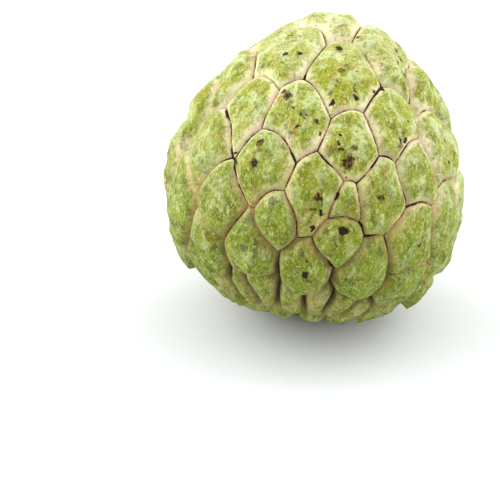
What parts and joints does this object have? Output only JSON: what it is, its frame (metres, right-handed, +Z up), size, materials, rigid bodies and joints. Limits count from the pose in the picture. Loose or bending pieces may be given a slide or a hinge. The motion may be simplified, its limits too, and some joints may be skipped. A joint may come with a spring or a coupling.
{
  "type": "custard apple",
  "caption": "Whole scaly custard apple with a short woody stalk stub, lying on its broad end with the tip leaning back.",
  "frame": {"origin": "middle of the outline seen from above, at the height of the flat resting spot", "axes": "+Z up from the resting spot; the tip leans back 30 degrees towards +Y and 9 degrees to the right, towards +X"},
  "size_m": [0.0874, 0.0878, 0.0861],
  "materials": {
    "rind": "matt, waxy living rind: green scales with a pale bloom, buff seams and brown specks",
    "stalk": "rough dry bark with a broken end"
  },
  "bodies": {
    "root": {"fruit": "rind", "stalk_stub": "stalk"}
  },
  "joints": []
}
